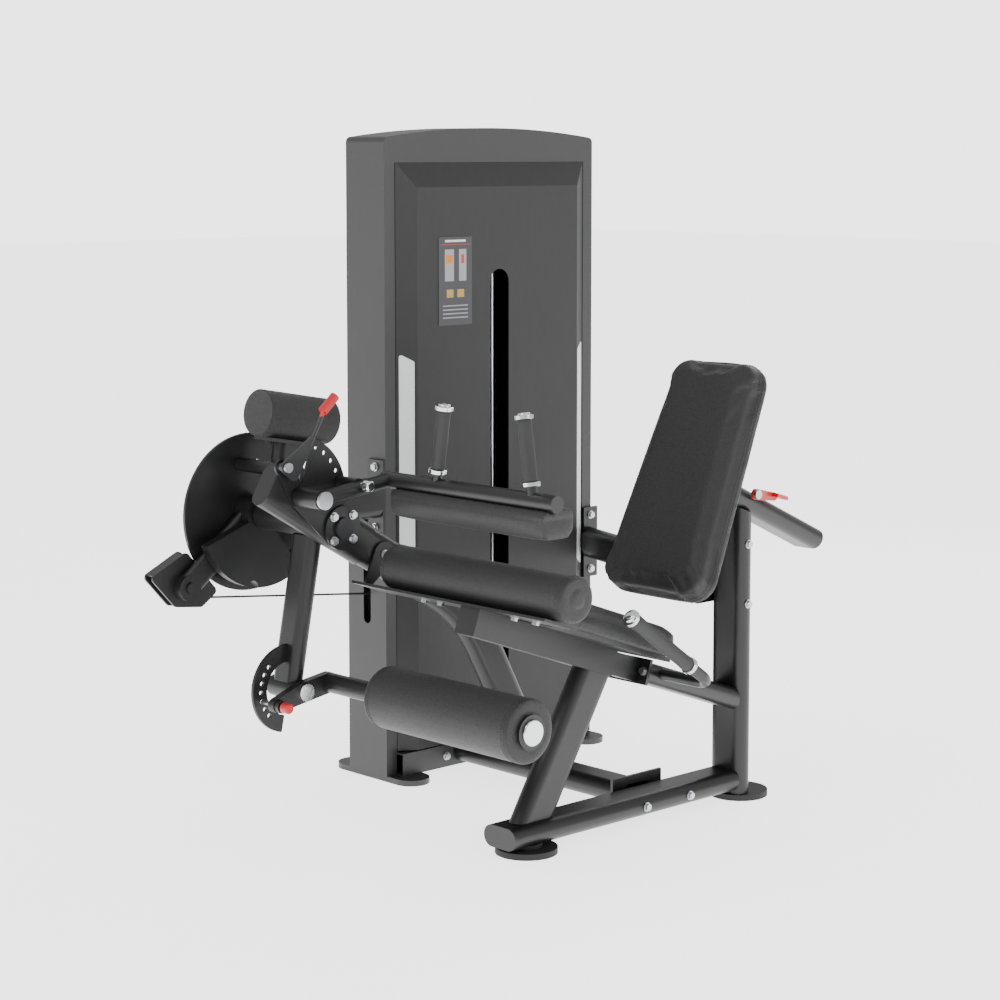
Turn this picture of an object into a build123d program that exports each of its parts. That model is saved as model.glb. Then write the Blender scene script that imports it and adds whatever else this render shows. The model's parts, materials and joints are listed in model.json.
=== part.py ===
from build123d import *
import os
from math import atan2, cos, degrees, radians, sin, tan

# Leg extension machine: a selector weight tower, a seat frame beside it and a swing
# lever that lifts the stack through a cable. Millimetres, +Z up, +X from the lever to
# the backrest, +Y from the seat to the tower. The origin is on the floor, at the middle
# of the four anchor holes in the tower's feet.

os.makedirs("parts", exist_ok=True)

# --- driving dimensions -------------------------------------------------------------

# flat-oval tube of the frame
tube_wide = 100.0
tube_thick = 50.0
tube_wall = 3.0
cap_thick = 4.0
fit_gap = 0.3

# tower
tower_width = 710.0
tower_depth = 142.0
tower_height = 1600.0
column_width = 33.0
column_wall = 2.5
cap_height = 84.0
crown_rise = 24.0
seam_height = tower_height - cap_height
cap_end_height = tower_height - crown_rise
foot_thick = 14.0
base_top = 70.0
base_depth = 190.0
top_beam_height = 56.0
guide_beam_low = 1256.0
guide_beam_high = 1280.0
crossbar_depth = 60.0
anchor_spacing_x = 610.0
anchor_spacing_y = 210.0
anchor_radius = 6.5
tower_foot_width = 90.0

# shrouds
shroud_gap = 2.0
shroud_lip = 11.0
shroud_depth = 27.0
shroud_bevel = 46.0
shroud_top_bevel = 60.0
shroud_wall = 3.0
stack_slot_width = 64.0
stack_slot_low = 170.0
stack_slot_high = 1251.0
window_low = 467.0
window_high = 1055.0
window_margin = 6.0
window_slant = 20.0
window_gap = 0.4
placard_size = (110.0, 216.0)
placard_center = (-150.0, 1226.0)
placard_thick = 1.2

# weight stack
plate_size = (270.0, 100.0)
plate_pitch = 25.0
plate_gap = 0.4
lifted_count = 6
resting_count = 8
bumper_height = 44.0
bumper_radius = 24.0
guide_offset = 66.0
guide_radius = 10.0
guide_clearance = 1.5
bush_radius = 16.0
bush_height = 107.0
bush_clearance = 0.05
selector_radius = 11.0
selector_clearance = 1.0
pin_radius = 5.0
pin_clearance = 0.1
pin_knob_radius = 12.0

# cable and wheels
cable_radius = 2.5
cable_plane = 0.0
groove_gap = 0.2
thimble_radius = 28.0
low_wheel_radius = 42.0
top_wheel_radius = 79.0
wheel_rim = 6.0
wheel_thick = 16.0
axle_radius = 6.0
running_gap = 0.05
bracket_gap = 2.0
bracket_thick = 5.0
cable_slot_width = 27.0
cable_hole_radius = 10.0
cable_slot_low = 388.0
cable_slot_high = 720.0

# knee pivot
knee_x = -728.0
knee_z = 706.0
shaft_radius = 17.5
disc_radius = 185.0
disc_thick = 8.0
disc_far = -10.0
disc_hub_radius = 40.0
disc_hub_near = -44.0
pulley_arm_wide = 60.0
pulley_arm_thick = 26.0
pulley_reach = 245.0
pulley_angle = 39.2
guard_thick = 6.0
index_radius = 117.0
index_hole_radius = 7.0
index_step = 12.5
index_holes = 5
index_angle = 103.0
far_bearing_near = -72.0
far_bearing_thick = 26.0
bearing_radius = 45.0
carrier_inner = 138.0
carrier_outer = 172.0
carrier_left = 200.0
carrier_low = -52.0
carrier_right = 17.0
carrier_notch = 16.0
support_start = -586.0
support_thick = 46.0

# swing lever
lever_tilt = 10.5
lever_plane = -240.0
lever_wide = 80.0
lever_thick = 40.0
ankle_reach = 378.0
hub_radius = 34.0
hub_near = -292.0
hub_far = -76.0
stem_plane = -128.0
stem_reach = 170.0
mount_plate_size = (150.0, 70.0)
mount_plate_thick = 8.0
weight_radius = 53.5
weight_length = 203.0
plunger_radius = 16.0
plunger_near = -152.0
plunger_pin_radius = 6.0
pin_standoff = 0.5

# ankle roller
bracket_near = -306.0
bracket_far = -286.0
bracket_height = 46.0
sector_radius = 101.0
sector_inner = 62.0
sector_hole_ring = 78.0
sector_thick = 8.0
sector_near = -246.0
sector_step = 15.0
ankle_shaft_radius = 12.0
ankle_arm = 74.0
ankle_arm_angle = 8.6
roller_tube_radius = 22.5
roller_radius = 72.0
roller_length = 460.0
ankle_pin_angle = 195.0
ankle_pin_radius = 5.5

# fixed arm and lap pad
arm_angle = 30.5
arm_plane = -323.0
arm_back = 217.0
arm_front = 100.0
insert_gap = 0.5
plate_thick = 6.0
lap_x = -848.0
lap_z = 788.0
lap_rim_radius = 132.0
lap_hole_ring = 116.0
lap_hole_step = 13.5
lap_pin_angle = 11.0
lap_pin_radius = 5.4
lap_hub_near = -438.0
lap_tube_plane = -420.0
lap_shaft_radius = 12.5
lap_hub_radius = 22.0
lap_bar_x = -640.0
lap_bar_z = 812.0
lap_bar_radius = 19.0
lap_pad_width = 96.0
lap_pad_height = 68.0
lap_pad_length = 490.0
grip_radius = 15.5
grip_height = 130.0
grip_spacing = 292.0
grip_lean = 9.0

# seat
seat_plane = -728.0
seat_tilt = 19.5
post_x = 167.0
rail_low = 23.0
rail_front = -592.0
cross_rail_x = -105.0
foot_radius = 70.0
brace_z = 248.0
seat_beam_wide = 60.0
board_thick = 10.0
seat_thick = 60.0
seat_width = 330.0
seat_start = 370.0
seat_length = 418.0
bolster_radius = 53.0
bolster_length = 580.0
bolster_reach = 849.0
soft_gap = 0.3

# backrest
back_rail_angle = 24.7
back_rail_start = 118.0
back_rail_end = 440.0
back_rail_z = 724.0
back_lean = back_rail_angle
back_foot_width = 335.0
back_head_width = 270.0
back_corner = 62.0
back_thick = 70.0
back_length = 585.0
back_plate_length = 380.0
back_plate_width = 180.0
back_foot_x = -148.0
back_foot_z = 538.0

# fasteners
bolt_head_radius = 8.5
bolt_head_height = 6.4
washer_radius = 10.5
washer_thick = 1.6

# smaller parts
pull_cable_length = 670.0
near_bearing_radius = 30.0
near_flange_radius = 50.0
near_flange_thick = 6.0
shaft_cap_radius = 24.0
shaft_cap_thick = 7.0
weld_plate_thick = 8.0
curved_foot_angle = 62.0
curved_bend = 400.0
ring_length = 10.0
grip_tube_radius = 11.0
beam_rear = 432.0
beam_front = 880.0
clamp_along = 340.0
bolster_middle = -710.0
tie_z = 522.0
tie_high = 80.0
handle_radius = 13.0
seat_grip_radius = 17.0
handle_out = 202.0
handle_low = (-128.0, 350.0)
handle_top = (-398.0, 540.0)
grip_start = 100.0

# --- derived places -----------------------------------------------------------------

half_width = tower_width / 2
half_depth = tower_depth / 2
column_inner = half_width - column_width
rail_high = rail_low + tube_thick
rail_mid = rail_low + tube_thick / 2
near = Vector(0, -1, 0)
right = Vector(1, 0, 0)


def polar(x, z, reach, angle):
    """Point in the XZ plane, angle in degrees above +X."""
    return x + reach * cos(radians(angle)), z + reach * sin(radians(angle))


def arm_point(along, across=0.0):
    """Place on the fixed arm: along it from the knee, across it upward."""
    x = knee_x + along * cos(radians(arm_angle)) + across * sin(radians(arm_angle))
    z = knee_z - along * sin(radians(arm_angle)) + across * cos(radians(arm_angle))
    return x, z


def seat_point(along, above=0.0):
    """Place on the seat beam: along it from the rear post, above its centre line."""
    x = post_x - tube_thick / 2 - along * cos(radians(seat_tilt)) + above * sin(radians(seat_tilt))
    z = brace_z + along * sin(radians(seat_tilt)) + above * cos(radians(seat_tilt))
    return x, z


def lever_point(along, across=0.0):
    """Place on the swing lever: along it below the knee, across it toward +X."""
    x = knee_x - along * sin(radians(lever_tilt)) + across * cos(radians(lever_tilt))
    z = knee_z - along * cos(radians(lever_tilt)) - across * sin(radians(lever_tilt))
    return x, z


def back_point(along, behind=0.0):
    """Place on the backrest: up its front face from the foot, behind that face."""
    x = back_foot_x + along * sin(radians(back_lean)) + behind * cos(radians(back_lean))
    z = back_foot_z + along * cos(radians(back_lean)) - behind * sin(radians(back_lean))
    return x, z


def slide_point(along, above=0.0):
    """Place on the backrest slide: down it from above the post, above its centre line."""
    x = post_x + along * cos(radians(back_rail_angle)) + above * sin(radians(back_rail_angle))
    z = back_rail_z - along * sin(radians(back_rail_angle)) + above * cos(radians(back_rail_angle))
    return x, z


knee = (knee_x, knee_z)
ankle = lever_point(ankle_reach)
pulley_end = polar(knee_x, knee_z, pulley_reach, 180 + pulley_angle)
roller_axis = polar(*ankle, ankle_arm, ankle_arm_angle)
disc_near = disc_far - disc_thick
arm_near = arm_plane - tube_thick / 2
arm_far = arm_plane + tube_thick / 2
plate_near = arm_near - plate_thick
stack_low = base_top + bumper_height
stack_split = stack_low + resting_count * plate_pitch
stack_top = stack_split + lifted_count * plate_pitch
bush_top = stack_top + bush_height
top_wheel_z = seam_height - top_beam_height - top_wheel_radius - 2 * wheel_rim
low_wheel_x = -2 * top_wheel_radius - low_wheel_radius
low_wheel_z = 487.5


# --- shared shapes ------------------------------------------------------------------


def side_plane(y):
    """XZ plane at y, facing -Y, whose sketches keep X to the right and Z up."""
    return Plane(origin=(0, y, 0), x_dir=(1, 0, 0), z_dir=(0, -1, 0))


def oval_run(start, end, wide_dir, wide=tube_wide, thick=tube_thick, wall=tube_wall, mode=Mode.ADD):
    """Flat-oval tube from start to end; wall 0 makes it solid."""
    axis = Vector(*end) - Vector(*start)
    plane = Plane(origin=start, x_dir=wide_dir, z_dir=axis)
    with BuildSketch(plane) as section:
        SlotOverall(wide, thick)
        if wall:
            SlotOverall(wide - 2 * wall, thick - 2 * wall, mode=Mode.SUBTRACT)
    extrude(section.sketch, amount=axis.length, mode=mode)


def round_run(start, end, radius, bore=0.0, mode=Mode.ADD):
    """Round bar or tube from start to end."""
    axis = Vector(*end) - Vector(*start)
    plane = Plane(origin=start, z_dir=axis)
    with BuildSketch(plane) as section:
        Circle(radius)
        if bore:
            Circle(bore, mode=Mode.SUBTRACT)
    extrude(section.sketch, amount=axis.length, mode=mode)


def box_between(low, high, mode=Mode.ADD):
    """Box between two opposite corners."""
    with BuildSketch(Plane.XY.offset(low[2])) as base:
        with Locations(((low[0] + high[0]) / 2, (low[1] + high[1]) / 2)):
            Rectangle(high[0] - low[0], high[1] - low[1])
    extrude(base.sketch, amount=high[2] - low[2], mode=mode)


def cross_pin(place, y_from, y_to, radius, bore=0.0, mode=Mode.ADD):
    """Round bar or tube along Y at an XZ place."""
    round_run((place[0], y_from, place[1]), (place[0], y_to, place[1]), radius, bore, mode)


def hull_plate(y_near, thick, circles, mode=Mode.ADD):
    """Flat plate in the XZ plane: the hull of circles given as (x, z, radius)."""
    with BuildSketch(side_plane(y_near + thick)) as outline:
        for x, z, radius in circles:
            with Locations((x, z)):
                Circle(radius)
        make_hull()
    extrude(outline.sketch, amount=thick, mode=mode)


def bolt(place, facing):
    """Washer and hexagon head standing on a surface, facing outward."""
    plane = Plane(origin=place, z_dir=facing)
    with BuildSketch(plane) as washer:
        Circle(washer_radius)
    extrude(washer.sketch, amount=washer_thick)
    with BuildSketch(plane.offset(washer_thick)) as head:
        RegularPolygon(bolt_head_radius, 6)
    extrude(head.sketch, amount=bolt_head_height)


def wheel(place, y_mid, groove, bore):
    """Grooved cable wheel on an axis along Y."""
    x, z = place
    rim = groove + wheel_rim
    half = wheel_thick / 2
    root = cable_radius + groove_gap
    with BuildSketch(Plane(origin=(x, y_mid, z), x_dir=(1, 0, 0), z_dir=(0, 0, 1))) as half_section:
        with BuildLine():
            Polyline(
                (bore, -half),
                (rim, -half),
                (groove - root, -root),
                (groove - root, root),
                (rim, half),
                (bore, half),
                close=True,
            )
        make_face()
    revolve(half_section.sketch, axis=Axis((x, y_mid, z), (0, 1, 0)))


def save(piece, label):
    piece.part.label = label
    export_step(piece.part, f"parts/{label}.step")


# --- tower --------------------------------------------------------------------------


def column(side):
    """Rectangular tube of the tower, side -1 left and +1 right."""
    outer = side * half_width
    inner = side * column_inner
    low_x, high_x = sorted((outer, inner))
    box_between((low_x, -half_depth, foot_thick), (high_x, half_depth, seam_height))
    box_between(
        (low_x + column_wall, -half_depth + column_wall, foot_thick),
        (high_x - column_wall, half_depth - column_wall, seam_height),
        mode=Mode.SUBTRACT,
    )


with BuildPart() as tower_cap:
    # arched top: both ends at the same height, the crown at full height
    with BuildSketch(side_plane(half_depth)):
        with BuildLine():
            crown = ThreePointArc(
                (-half_width, cap_end_height), (0, tower_height), (half_width, cap_end_height)
            )
            Polyline(crown @ 1, (half_width, seam_height), (-half_width, seam_height), crown @ 0)
        make_face()
    extrude(amount=tower_depth)
    fillet(tower_cap.edges().filter_by(Axis.Y).group_by(Axis.Z)[-1], 14)
    with BuildSketch(Plane.XY.offset(seam_height)):
        Rectangle(tower_width - 2 * column_wall, tower_depth - 2 * column_wall)
    extrude(amount=cap_end_height - seam_height - crown_rise, mode=Mode.SUBTRACT)
save(tower_cap, "tower_cap")


def cross_tube(low, high, depth):
    """Hollow box tube between the two columns."""
    box_between((-column_inner, -depth / 2, low), (column_inner, depth / 2, high))
    box_between(
        (-column_inner, -depth / 2 + tube_wall, low + tube_wall),
        (column_inner, depth / 2 - tube_wall, high - tube_wall),
        mode=Mode.SUBTRACT,
    )


with BuildPart() as tower_frame:
    # two columns, the base, the bar that ends the guide rods and the top beam
    for side in (-1, 1):
        column(side)
    cross_tube(foot_thick, base_top, base_depth)
    cross_tube(seam_height - top_beam_height, seam_height, crossbar_depth)
    box_between((-column_inner, -crossbar_depth / 2, guide_beam_low),
                (column_inner, crossbar_depth / 2, guide_beam_high))
    for x in (0, -2 * top_wheel_radius):
        round_run((x, 0, guide_beam_low), (x, 0, guide_beam_high), cable_hole_radius, mode=Mode.SUBTRACT)
    # slot in which the pull cable swings
    slot_mid = (cable_slot_low + cable_slot_high) / 2
    with BuildSketch(Plane(origin=(-half_width, cable_plane, slot_mid), x_dir=(0, 0, 1), z_dir=(1, 0, 0))):
        SlotOverall(cable_slot_high - cable_slot_low, cable_slot_width)
    extrude(amount=column_width, mode=Mode.SUBTRACT)
save(tower_frame, "tower_frame")

with BuildPart() as tower_feet:
    for side in (-1, 1):
        with BuildSketch(Plane.XY):
            with Locations((side * anchor_spacing_x / 2, 0)):
                SlotOverall(anchor_spacing_y + tower_foot_width, tower_foot_width, rotation=90)
            with Locations(
                (side * anchor_spacing_x / 2, -anchor_spacing_y / 2),
                (side * anchor_spacing_x / 2, anchor_spacing_y / 2),
            ):
                Circle(anchor_radius, mode=Mode.SUBTRACT)
        extrude(amount=foot_thick)
save(tower_feet, "tower_feet")


def shroud_block(side, inset):
    """Bevelled block of a shroud, side -1 front and +1 rear, shrunk by inset."""
    rim_x = column_inner - shroud_gap - inset
    face_x = rim_x - shroud_bevel
    back_y = half_depth - shroud_lip
    step_y = half_depth - inset * 0.5
    face_y = half_depth + shroud_depth - inset
    if inset:
        back_y -= shroud_lip
    low = base_top + 2 * shroud_gap + inset
    high = seam_height - inset
    plan = [(rim_x, back_y), (rim_x, step_y), (face_x, face_y)]
    with BuildPart() as block:
        with BuildSketch(Plane.XY.offset(low)):
            with BuildLine():
                points = [(x, side * y) for x, y in plan]
                Polyline(*points, *[(-x, y) for x, y in reversed(points)], close=True)
            make_face()
        extrude(amount=high - low)
        bevel_low = high - shroud_top_bevel
        with BuildSketch(Plane.YZ.offset(-rim_x)):
            with BuildLine():
                Polyline(
                    (side * back_y, low),
                    (side * back_y, high),
                    (side * step_y, high),
                    (side * face_y, bevel_low),
                    (side * face_y, low),
                    close=True,
                )
            make_face()
        extrude(amount=2 * rim_x, mode=Mode.INTERSECT)
    return block.part


def window_prism(gap, mode):
    """Openings in the bevelled sides, taller at the outer edge."""
    outer = column_inner - shroud_gap - window_margin - gap
    inner = outer - shroud_bevel + 2 * window_margin + 2 * gap
    low = window_low + gap
    high = window_high - gap
    with BuildSketch(side_plane(base_depth)) as openings:
        for side in (-1, 1):
            with BuildLine():
                Polyline(
                    (side * outer, low),
                    (side * outer, high),
                    (side * inner, high - window_slant),
                    (side * inner, low + window_slant),
                    close=True,
                )
            make_face()
        fillet(openings.vertices(), 5)
    extrude(openings.sketch, amount=2 * base_depth, mode=mode)


shroud_skins = {side: shroud_block(side, 0) for side in (-1, 1)}
shroud_cores = {side: shroud_block(side, shroud_wall) for side in (-1, 1)}

with BuildPart() as front_shroud:
    add(shroud_skins[-1])
    add(shroud_cores[-1], mode=Mode.SUBTRACT)
    window_prism(0, Mode.SUBTRACT)
    # slot for reaching the selector pin
    slot_mid = (stack_slot_low + stack_slot_high) / 2
    with BuildSketch(side_plane(-half_depth + shroud_lip)):
        with Locations((0, slot_mid)):
            SlotOverall(stack_slot_high - stack_slot_low, stack_slot_width, rotation=90)
    extrude(amount=shroud_depth + 2 * shroud_lip, mode=Mode.SUBTRACT)
save(front_shroud, "front_shroud")

with BuildPart() as rear_shroud:
    add(shroud_skins[1])
    add(shroud_cores[1], mode=Mode.SUBTRACT)
    window_prism(0, Mode.SUBTRACT)
save(rear_shroud, "rear_shroud")

with BuildPart() as side_windows:
    for side in (-1, 1):
        add(shroud_skins[side])
        add(shroud_cores[side], mode=Mode.SUBTRACT)
    window_prism(window_gap, Mode.INTERSECT)
save(side_windows, "side_windows")

with BuildPart() as placard:
    with BuildSketch(side_plane(-half_depth - shroud_depth)):
        with Locations(placard_center):
            RectangleRounded(*placard_size, 4)
    extrude(amount=placard_thick)
save(placard, "placard")

# --- weight stack -------------------------------------------------------------------


def stack_plate(low, high, centre_radius):
    """One weight plate with guide holes, a centre hole and a pin hole from the front."""
    with BuildSketch(Plane.XY.offset(low)) as outline:
        RectangleRounded(*plate_size, 6)
        Circle(centre_radius, mode=Mode.SUBTRACT)
        with Locations((-guide_offset, 0), (guide_offset, 0)):
            Circle(guide_radius + guide_clearance, mode=Mode.SUBTRACT)
    extrude(outline.sketch, amount=high - low)


with BuildPart() as resting_plates:
    for index in range(resting_count):
        low = stack_low + index * plate_pitch
        stack_plate(low, low + plate_pitch - plate_gap, selector_radius + selector_clearance)
save(resting_plates, "resting_plates")

pin_z = stack_split + plate_pitch / 2

with BuildPart() as lifted_plates:
    for index in range(lifted_count):
        low = stack_split + index * plate_pitch
        stack_plate(low, low + plate_pitch - plate_gap, selector_radius + selector_clearance)
    cross_pin((0, pin_z), -plate_size[1], 0, pin_radius + pin_clearance, mode=Mode.SUBTRACT)
save(lifted_plates, "lifted_plates")

with BuildPart() as selector_rod:
    round_run((0, 0, stack_low + plate_pitch), (0, 0, bush_top), selector_radius)
    for index in range(1, resting_count + lifted_count):
        hole_z = stack_low + (index + 0.5) * plate_pitch
        cross_pin((0, hole_z), -selector_radius, selector_radius, pin_radius + pin_clearance,
                  mode=Mode.SUBTRACT)
    # collar that rests on the top plate
    round_run((0, 0, stack_top), (0, 0, stack_top + 12), 24)
    # bushes that run on the guide rods
    for side in (-1, 1):
        start = (side * guide_offset, 0, stack_top)
        round_run(start, (side * guide_offset, 0, bush_top), bush_radius, guide_radius + bush_clearance)
save(selector_rod, "selector_rod")

with BuildPart() as guide_rods:
    for side in (-1, 1):
        x = side * guide_offset
        round_run((x, 0, base_top), (x, 0, guide_beam_low), guide_radius)
save(guide_rods, "guide_rods")

with BuildPart() as stack_bumpers:
    for side in (-1, 1):
        x = side * guide_offset
        round_run((x, 0, base_top), (x, 0, stack_low - plate_gap), bumper_radius,
                  guide_radius + guide_clearance)
save(stack_bumpers, "stack_bumpers")

with BuildPart() as selector_pin:
    pin_tip = selector_radius - 2
    knob_back = -plate_size[1] / 2 - 4
    cross_pin((0, pin_z), pin_tip, knob_back, pin_radius)
    cross_pin((0, pin_z), knob_back, knob_back - 22, pin_knob_radius)
    fillet(selector_pin.edges().filter_by(GeomType.CIRCLE).sort_by(Axis.Y)[0], 3)
save(selector_pin, "selector_pin")

# --- cable run inside the tower -----------------------------------------------------

with BuildPart() as top_wheel:
    wheel((-top_wheel_radius, top_wheel_z), 0, top_wheel_radius, axle_radius + running_gap)
save(top_wheel, "top_wheel")

with BuildPart() as low_wheel:
    wheel((low_wheel_x, low_wheel_z), cable_plane, low_wheel_radius, axle_radius + running_gap)
save(low_wheel, "low_wheel")

with BuildPart() as wheel_brackets:
    # cheeks and axle of each wheel: the top one hangs, the low one stands off the column
    half_gap = wheel_thick / 2 + bracket_gap
    for side in (-1, 1):
        near_y, far_y = sorted((side * half_gap, side * (half_gap + bracket_thick)))
        box_between((-top_wheel_radius - 25, near_y, top_wheel_z - 20),
                    (-top_wheel_radius + 25, far_y, seam_height - top_beam_height))
        box_between((-column_inner, near_y, low_wheel_z - 20), (low_wheel_x + 16, far_y, low_wheel_z + 20))
    for place in ((-top_wheel_radius, top_wheel_z), (low_wheel_x, low_wheel_z)):
        cross_pin(place, -half_gap, half_gap, axle_radius)
save(wheel_brackets, "wheel_brackets")


def thick_path(path, radius):
    """Round cable along a path that starts at path @ 0."""
    with BuildSketch(Plane(origin=path @ 0, z_dir=path % 0)) as section:
        Circle(radius)
    sweep(section.sketch, path=path)


# angle of the pull cable below +X, tangent to the thimble and the low wheel
pull_run = Vector(low_wheel_x - pulley_end[0], low_wheel_z - pulley_end[1])
pull_drop = degrees(atan2(-pull_run.Y, pull_run.X)) + degrees(
    (low_wheel_radius - thimble_radius) / pull_run.length
)

with BuildPart() as inner_cable:
    low_middle = (low_wheel_x, low_wheel_z)
    top_middle = (-top_wheel_radius, top_wheel_z)
    with BuildLine(side_plane(cable_plane)) as inner_path:
        low_arc = CenterArc(low_middle, low_wheel_radius, -90 - pull_drop, 90 + pull_drop)
        top_arc = CenterArc(top_middle, top_wheel_radius, 180, -180)
        Line(low_arc @ 1, top_arc @ 0)
    thick_path(inner_path.wires()[0], cable_radius)
save(inner_cable, "inner_cable")

with BuildPart() as stack_cable:
    round_run((0, 0, bush_top), (0, 0, top_wheel_z), cable_radius)
save(stack_cable, "stack_cable")

with BuildPart() as thimble:
    wheel(pulley_end, cable_plane, thimble_radius, axle_radius + running_gap)
save(thimble, "thimble")

with BuildPart() as pull_cable:
    # half a turn on the thimble, then straight through the column's slot
    with BuildLine(side_plane(cable_plane)) as pull_path:
        wrap = CenterArc(pulley_end, thimble_radius, 90 - pull_drop, 180)
        PolarLine(wrap @ 1, pull_cable_length, angle=-pull_drop)
    thick_path(pull_path.wires()[0], cable_radius)
save(pull_cable, "pull_cable")

# --- knee pivot ---------------------------------------------------------------------


def box_run(start, end, wide_dir, wide, thick, wall=0.0):
    """Rectangular bar from start to end, hollow when it has a wall."""
    axis = Vector(*end) - Vector(*start)
    with BuildSketch(Plane(origin=start, x_dir=wide_dir, z_dir=axis)) as section:
        Rectangle(wide, thick)
        if wall:
            Rectangle(wide - 2 * wall, thick - 2 * wall, mode=Mode.SUBTRACT)
    extrude(section.sketch, amount=axis.length)


def at(place, y):
    """Point in space from an XZ place and a depth."""
    return (place[0], y, place[1])


near_flange_near = plate_near - near_flange_thick
shaft_near = near_flange_near - shaft_cap_thick - 1

with BuildPart() as pivot_shaft:
    cross_pin(knee, shaft_near, disc_far, shaft_radius)
    cross_pin(knee, shaft_near, near_flange_near - 1, shaft_cap_radius)
save(pivot_shaft, "pivot_shaft")

with BuildPart() as cam_disc:
    cross_pin(knee, disc_near, disc_far, disc_radius)
    cross_pin(knee, disc_hub_near, disc_near, disc_hub_radius)
    # arm that carries the cable's thimble
    arm_mid_y = disc_near - pulley_arm_thick / 2
    arm_across = Vector(cos(radians(pulley_angle - 90)), 0, sin(radians(pulley_angle - 90)))
    oval_run(at(knee, arm_mid_y), at(pulley_end, arm_mid_y), arm_across, pulley_arm_wide,
             pulley_arm_thick, wall=0)
    cross_pin(pulley_end, arm_mid_y - pulley_arm_thick / 2, disc_near, pulley_arm_wide / 2)
    cross_pin(pulley_end, disc_hub_near, disc_near, axle_radius, mode=Mode.SUBTRACT)
    cross_pin(knee, disc_hub_near, disc_far, shaft_radius, mode=Mode.SUBTRACT)
    for index in range(index_holes):
        hole = polar(*knee, index_radius, index_angle - index * index_step)
        cross_pin(hole, disc_near, disc_far, index_hole_radius, mode=Mode.SUBTRACT)
save(cam_disc, "cam_disc")

with BuildPart() as cable_guard:
    # two cheeks around the thimble, a spine that joins them and the bolt through all
    outline = [(-993, 578, 11), (-912, 616, 12), (-937, 518, 12), (-871, 510, 12), (-838, 532, 11)]
    guard_near = disc_near
    guard_far = wheel_thick / 2 + bracket_gap + guard_thick
    hull_plate(guard_near, guard_thick, outline)
    cross_pin(knee, guard_near, guard_near + guard_thick, disc_radius + fit_gap, mode=Mode.SUBTRACT)
    hull_plate(guard_far - guard_thick, guard_thick, outline)
    spine_mid = (guard_near + guard_far) / 2
    box_run((-1001, spine_mid, 584), (-916, spine_mid, 625), (0, 1, 0), guard_far - guard_near, 4)
    cross_pin(pulley_end, disc_hub_near, guard_far, axle_radius)
    cross_pin(pulley_end, disc_hub_near - bolt_head_height, disc_hub_near, bolt_head_radius * 1.5)
    cross_pin(pulley_end, guard_far, guard_far + bolt_head_height, bolt_head_radius * 1.3)
save(cable_guard, "cable_guard")

with BuildPart() as pivot_bearings:
    # near bearing through the arm, with its flange on the plate
    cross_pin(knee, near_flange_near, arm_far + 4, near_bearing_radius, shaft_radius + running_gap)
    cross_pin(knee, near_flange_near, plate_near, near_flange_radius, near_bearing_radius)
    # far bearing on a plate that goes round below the swing of the start pin
    far_bearing_far = far_bearing_near + far_bearing_thick
    with BuildSketch(side_plane(far_bearing_far)) as carrier:
        with BuildLine():
            rim = CenterArc(knee, carrier_outer, carrier_right, carrier_left - 360 - carrier_right)
            inner_rim = CenterArc(knee, carrier_inner, carrier_right, carrier_low - carrier_right)
            Line(rim @ 0, inner_rim @ 0)
            Line(inner_rim @ 1, knee)
            Line(knee, rim @ 1)
        make_face()
        notch_place = polar(*knee, carrier_outer, 180 + 2 * pulley_angle)
        with Locations(notch_place):
            Circle(carrier_notch, mode=Mode.SUBTRACT)
        with Locations(knee):
            Circle(bearing_radius)
            Circle(shaft_radius + running_gap, mode=Mode.SUBTRACT)
    extrude(carrier.sketch, amount=far_bearing_thick)
save(pivot_bearings, "pivot_bearings")

# --- swing lever --------------------------------------------------------------------

lever_across = Vector(cos(radians(lever_tilt)), 0, -sin(radians(lever_tilt)))
stem_down = Vector(-sin(radians(lever_tilt)), 0, -cos(radians(lever_tilt)))
plate_reach = stem_reach + mount_plate_thick
weight_reach = plate_reach + weight_radius
plunger_place = polar(*knee, index_radius, index_angle)
plunger_far = disc_near - 2
sleeve_near = bracket_far + 1
sleeve_far = lever_plane + lever_wide / 2 + 5

with BuildPart() as swing_lever:
    cross_pin(knee, hub_near, hub_far, hub_radius)
    oval_run(at(lever_point(hub_radius - tube_wall), lever_plane), at(ankle, lever_plane), (0, 1, 0),
             lever_wide, lever_thick)
    cross_pin(ankle, sleeve_near, sleeve_far, ankle_shaft_radius * 2)
    # stem and plate for the counterweight
    oval_run(at(lever_point(-hub_radius + tube_wall), stem_plane),
             at(lever_point(-stem_reach), stem_plane), lever_across, lever_wide, lever_thick)
    box_run(at(lever_point(-stem_reach), stem_plane), at(lever_point(-plate_reach), stem_plane),
            lever_across, *mount_plate_size)
    cross_pin(plunger_place, plunger_near, plunger_far, plunger_radius)
    # bores
    cross_pin(knee, hub_near, hub_far, shaft_radius + running_gap, mode=Mode.SUBTRACT)
    cross_pin(ankle, sleeve_near, sleeve_far, ankle_shaft_radius + running_gap, mode=Mode.SUBTRACT)
    cross_pin(plunger_place, plunger_near, plunger_far, plunger_pin_radius + running_gap,
              mode=Mode.SUBTRACT)
save(swing_lever, "swing_lever")

with BuildPart() as counterweight:
    weight_middle = Vector(*at(lever_point(-weight_reach), stem_plane))
    half_weight = lever_across * (weight_length / 2)
    round_run(weight_middle - half_weight, weight_middle + half_weight, weight_radius)
    fillet(counterweight.edges().filter_by(GeomType.CIRCLE), 2)
    for side in (-1, 1):
        bolt(at(lever_point(-stem_reach, side * (mount_plate_size[0] / 2 - 18)), stem_plane), stem_down)
save(counterweight, "counterweight")

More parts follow.
